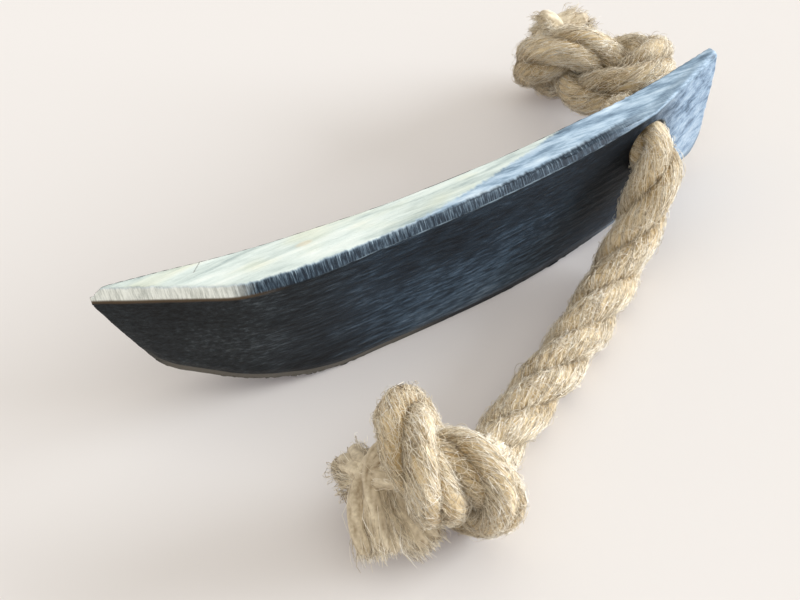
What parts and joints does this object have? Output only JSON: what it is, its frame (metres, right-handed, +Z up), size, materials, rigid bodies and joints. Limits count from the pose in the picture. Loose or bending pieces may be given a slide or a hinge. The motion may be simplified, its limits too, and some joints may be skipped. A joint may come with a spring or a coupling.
{
  "type": "curved slab with a knotted rope",
  "caption": "Hand-sized curved dark slab with bevelled sawn edges and a thick laid rope through a hole near one end, knotted on both sides.",
  "frame": {"origin": "on the floor under the middle of the slab's own box, the rope left out", "axes": "+X along the slab towards the hole and the rope, -Y out of the slab's rounded front, +Z up, with the slab standing on its lower long edge"},
  "size_m": [0.1982, 0.155, 0.041],
  "materials": {
    "slab": "dark fibrous, sawn and lightly sanded, satin",
    "rope": "three-strand laid jute, dry and hairy",
    "strand_ends": "unlaid jute fibre, brushed out"
  },
  "bodies": {
    "slab": {"slab": "slab"},
    "held_rope": {"rope_in_hole": "rope"},
    "back_rope": {"rope_back_run": "rope", "back_knot": "rope", "back_strand_end_1": "strand_ends", "back_strand_end_2": "strand_ends", "back_strand_end_3": "strand_ends"},
    "front_rope": {"rope_front_run": "rope", "front_knot": "rope", "front_strand_end_1": "strand_ends", "front_strand_end_2": "strand_ends", "front_strand_end_3": "strand_ends"}
  },
  "joints": [
    {"name": "rope_slide", "type": "slide", "parent": "slab", "child": "held_rope", "axis": [0, 1, 0], "range_m": [0, 0.005]},
    {"name": "back_rope_swing", "type": "hinge", "parent": "held_rope", "child": "back_rope", "pos_m": [0.066, 0.01216, 0.028], "axis": [0, 0, 1], "range_deg": [-15, 60]},
    {"name": "front_rope_swing", "type": "hinge", "parent": "slab", "child": "front_rope", "pos_m": [0.066, -0.0086, 0.028], "axis": [0, 0, 1], "range_deg": [-15, 95]}
  ]
}
